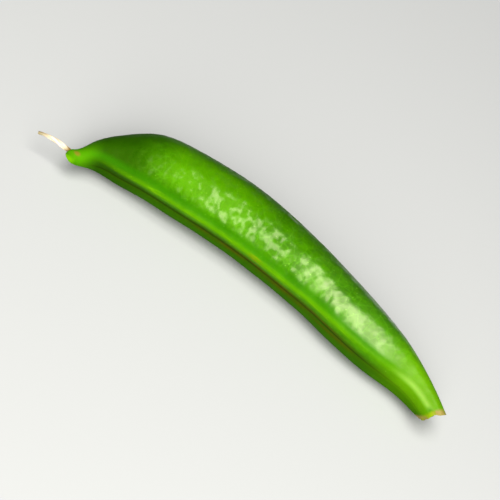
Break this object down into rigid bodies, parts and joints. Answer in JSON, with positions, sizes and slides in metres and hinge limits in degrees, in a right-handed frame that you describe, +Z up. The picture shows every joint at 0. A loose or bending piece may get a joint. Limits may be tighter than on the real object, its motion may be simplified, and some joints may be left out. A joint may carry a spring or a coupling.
{
  "type": "sugar snap pea pod",
  "caption": "Plump, gently curved green pea pod with a double-ribbed seam, a hooked beak that keeps its dried style, and a torn stem end. It lies on one flank.",
  "frame": {"origin": "middle of the laid pod's bounding box, seen from above, on the surface that it lies on", "axes": "+Z up; +X along the pod, from the beak with its dried style to the torn stem end; +Y from the concave seam edge to the rounded back"},
  "size_m": [0.086, 0.0194, 0.0114],
  "materials": {
    "pod_skin": "smooth waxy plant skin, glossy, fresh green",
    "dry_style": "dry, matt, cream withered fibre"
  },
  "bodies": {
    "root": {"pod": "pod_skin", "dried_style": "dry_style"}
  },
  "joints": []
}
